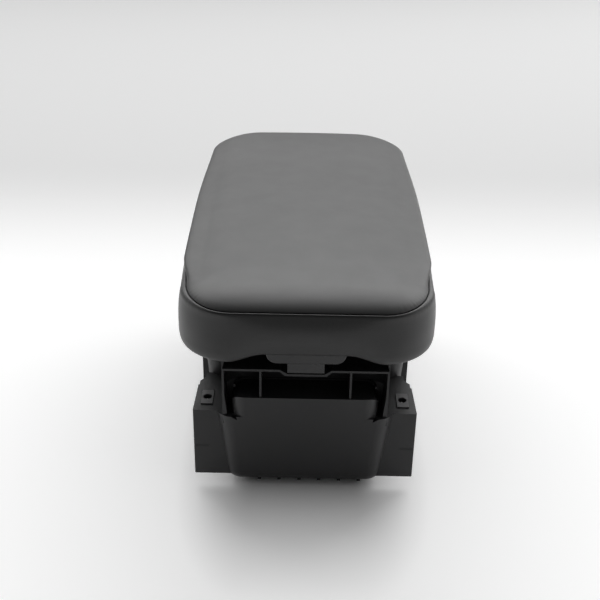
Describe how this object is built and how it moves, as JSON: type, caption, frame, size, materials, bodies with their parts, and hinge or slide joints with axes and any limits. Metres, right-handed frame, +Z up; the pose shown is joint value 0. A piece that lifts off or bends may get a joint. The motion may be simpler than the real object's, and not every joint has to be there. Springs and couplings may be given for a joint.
{
  "type": "car centre armrest",
  "caption": "Car centre armrest: padded leather lid hinged at the rear of a ribbed black storage bin, with a front latch paddle and fixing wings.",
  "frame": {"origin": "centre of the overall box, on the plane of the bin's bottom ribs", "axes": "+Z up, +Y from the latch end to the hinge end, +X to the right seen from the latch end"},
  "size_m": [0.1802, 0.3482, 0.163],
  "materials": {
    "leather": "fine-grained charcoal leather with a soft sheen",
    "foam": "open-cell cushion foam",
    "base_plastic": "plain black moulding",
    "liner_plastic": "fine-grained black",
    "satin_plastic": "satin black",
    "bin_plastic": "fine-grained satin black",
    "bush_plastic": "natural white",
    "screw_steel": "dark zinc",
    "pin_steel": "ground",
    "spring_steel": "drawn wire",
    "leaf_steel": "black coated",
    "nut_steel": "black phosphate",
    "buffer_rubber": "matt"
  },
  "bodies": {
    "bin": {"storage_bin": "bin_plastic", "hinge_pin": "pin_steel", "pin_clips": "spring_steel", "rubber_buffers": "buffer_rubber", "spring_nut_left": "nut_steel", "spring_nut_right": "nut_steel"},
    "lid": {"leather_cover": "leather", "foam_pad": "foam", "lid_base": "base_plastic", "lid_liner": "liner_plastic", "liner_screws": "screw_steel", "latch_bezel": "satin_plastic", "bezel_screws": "screw_steel", "latch_pin": "pin_steel", "latch_spring": "spring_steel", "hinge_leaf_left": "leaf_steel", "hinge_leaf_right": "leaf_steel", "leaf_screws": "screw_steel", "hinge_bush_left": "bush_plastic", "hinge_bush_right": "bush_plastic"},
    "latch": {"latch_paddle": "satin_plastic"}
  },
  "joints": [
    {"name": "lid_hinge", "type": "hinge", "parent": "bin", "child": "lid", "pos_m": [0, 0.147, 0.099], "axis": [-1, 0, 0], "range_deg": [0, 95]},
    {"name": "latch_pivot", "type": "hinge", "parent": "lid", "child": "latch", "pos_m": [0, -0.15, 0.1145], "axis": [-1, 0, 0], "range_deg": [-10, 8], "stiffness_Nm_per_rad": 0.02}
  ]
}
